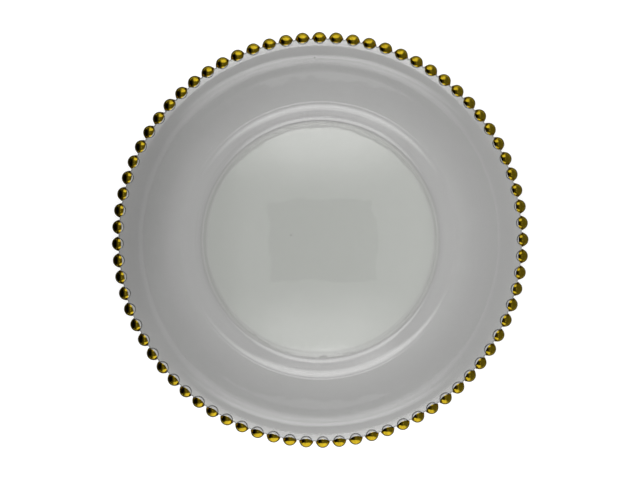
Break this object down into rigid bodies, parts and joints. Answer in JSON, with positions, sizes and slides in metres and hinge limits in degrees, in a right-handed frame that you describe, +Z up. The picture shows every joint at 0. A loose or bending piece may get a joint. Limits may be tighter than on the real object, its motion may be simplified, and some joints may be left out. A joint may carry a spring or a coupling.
{
  "type": "charger plate",
  "caption": "Round clear glass charger plate with a flat well, a stepped wide rim and a moulded edge of balls coated in gold.",
  "frame": {"origin": "centre of the foot ring's underside, on the surface that the plate stands on", "axes": "+Z up along the plate's axis of symmetry, out of the well; +Y points to a ball, at the top of the picture; +X to the right of the picture"},
  "size_m": [0.33, 0.33, 0.0234],
  "materials": {
    "clear_glass": "clear pressed glass with fire-polished faces",
    "gold_coat": "bright mirror gold coat"
  },
  "bodies": {
    "root": {"glass_plate": "clear_glass", "gold_bead_coats": "gold_coat"}
  },
  "joints": []
}
